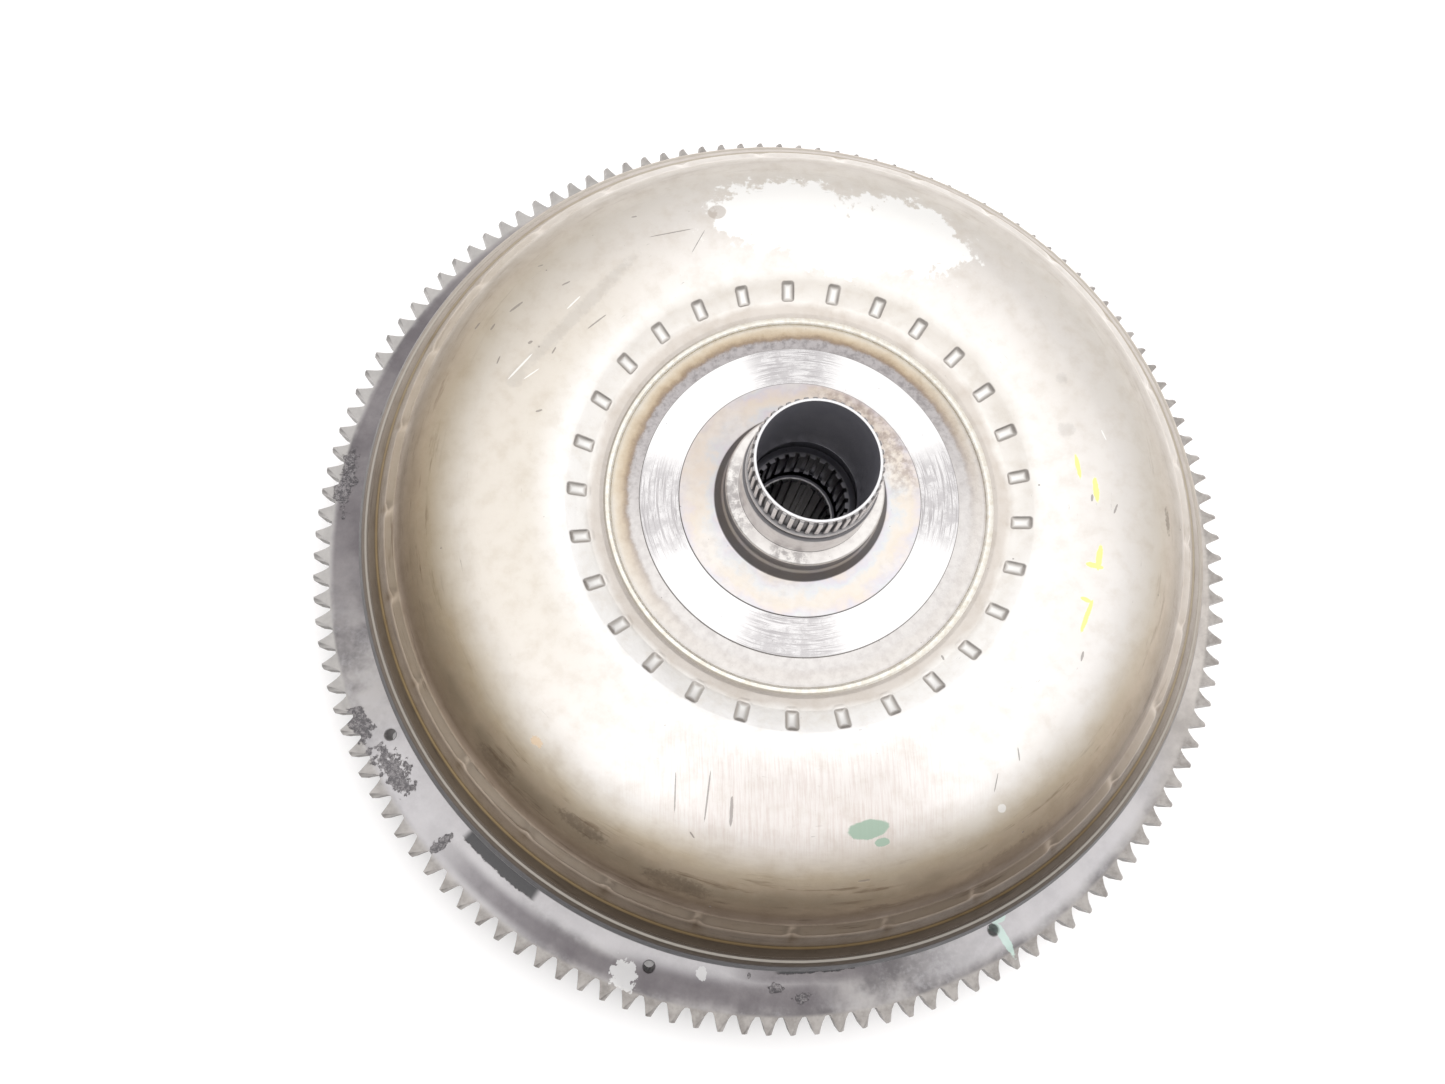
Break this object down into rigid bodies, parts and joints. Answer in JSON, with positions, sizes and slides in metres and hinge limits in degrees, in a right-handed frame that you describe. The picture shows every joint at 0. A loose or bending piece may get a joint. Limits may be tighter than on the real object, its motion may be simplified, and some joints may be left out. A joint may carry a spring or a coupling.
{
  "type": "torque converter",
  "caption": "Welded hydrodynamic torque converter with starter ring gear, splined pump hub, turbine, stator with one-way clutch, and a lock-up clutch with spring damper.",
  "frame": {"origin": "on the axis, in the plane of the drive nut faces that bolt to the engine's drive plate", "axes": "+Z along the axis towards the gearbox, out of the pump hub; X and Y are across the axis"},
  "size_m": [0.2816, 0.2815, 0.1036],
  "materials": {
    "cover_steel": "bare pressed steel, oiled",
    "nut_steel": "machined",
    "weld_bead": "rippled weld bead, dark scale",
    "gear_phosphate": "dark grey phosphate, worn bare on the teeth",
    "shell_steel": "pressed steel with a light brown oil film",
    "hub_steel": "machined bright, heat-tinted beside the weld",
    "blade_steel": "pressed sheet",
    "turbine_steel": "pressed sheet",
    "forged_steel": "machined forging, oiled",
    "plate_steel": "pressed plate",
    "rivet_steel": "formed heads",
    "spring_steel": "oil-tempered wire",
    "bearing_steel": "ground and polished",
    "cage_steel": "pressed sheet",
    "stator_aluminium": "die-cast",
    "friction_paper": "oil-soaked paper lining",
    "seal_plastic": "filled PTFE"
  },
  "bodies": {
    "housing": {"front_cover": "cover_steel", "pilot_boss": "cover_steel", "drive_nuts": "nut_steel", "drive_nut_welds": "weld_bead", "ring_gear": "gear_phosphate", "ring_gear_welds": "weld_bead", "impeller_shell": "shell_steel", "rim_weld": "weld_bead", "impeller_hub": "hub_steel", "hub_weld": "weld_bead", "impeller_blades": "blade_steel", "impeller_core_ring": "blade_steel", "rear_bearing_upper_race": "bearing_steel"},
    "turbine": {"turbine_shell": "turbine_steel", "turbine_blades": "blade_steel", "turbine_core_ring": "blade_steel", "turbine_hub": "forged_steel", "turbine_rivets": "rivet_steel", "piston_seal_ring": "seal_plastic", "turbine_thrust_washer": "seal_plastic", "damper_driven_plate": "plate_steel", "front_bearing_lower_race": "bearing_steel"},
    "damper_drive": {"damper_drive_plate": "plate_steel", "damper_springs": "spring_steel"},
    "lockup_piston": {"lockup_piston": "plate_steel", "friction_lining": "friction_paper"},
    "stator": {"stator_wheel": "stator_aluminium", "clutch_outer_race": "forged_steel", "clutch_rollers": "bearing_steel", "clutch_springs": "spring_steel", "clutch_side_plate": "plate_steel", "stator_snap_ring": "rivet_steel", "rear_bearing_lower_race": "bearing_steel", "front_bearing_upper_race": "bearing_steel"},
    "inner_race": {"clutch_inner_race": "forged_steel"},
    "front_cage": {"front_bearing_cage": "cage_steel", "front_bearing_needles": "bearing_steel"},
    "rear_cage": {"rear_bearing_cage": "cage_steel", "rear_bearing_needles": "bearing_steel"}
  },
  "joints": [
    {"name": "turbine_spin", "type": "hinge", "parent": "housing", "child": "turbine", "pos_m": [0, 0, 0], "axis": [0, 0, 1], "continuous": true},
    {"name": "damper_twist", "type": "hinge", "parent": "turbine", "child": "damper_drive", "pos_m": [0, 0, 0], "axis": [0, 0, 1], "range_deg": [-4, 4], "stiffness_Nm_per_rad": 300, "deforming": ["damper_springs"]},
    {"name": "lockup_slide", "type": "slide", "parent": "damper_drive", "child": "lockup_piston", "axis": [0, 0, -1], "range_m": [0, 0.0013]},
    {"name": "stator_spin", "type": "hinge", "parent": "housing", "child": "stator", "pos_m": [0, 0, 0], "axis": [0, 0, 1], "continuous": true},
    {"name": "one_way_clutch", "type": "hinge", "parent": "stator", "child": "inner_race", "pos_m": [0, 0, 0], "axis": [0, 0, 1], "continuous": true},
    {"name": "front_cage_spin", "type": "hinge", "parent": "housing", "child": "front_cage", "pos_m": [0, 0, 0], "axis": [0, 0, 1], "continuous": true},
    {"name": "rear_cage_spin", "type": "hinge", "parent": "housing", "child": "rear_cage", "pos_m": [0, 0, 0], "axis": [0, 0, 1], "continuous": true}
  ],
  "couplings": [
    {"joint": "front_cage_spin", "follows": "turbine_spin", "ratio": 0.5},
    {"joint": "rear_cage_spin", "follows": "stator_spin", "ratio": 0.5}
  ]
}
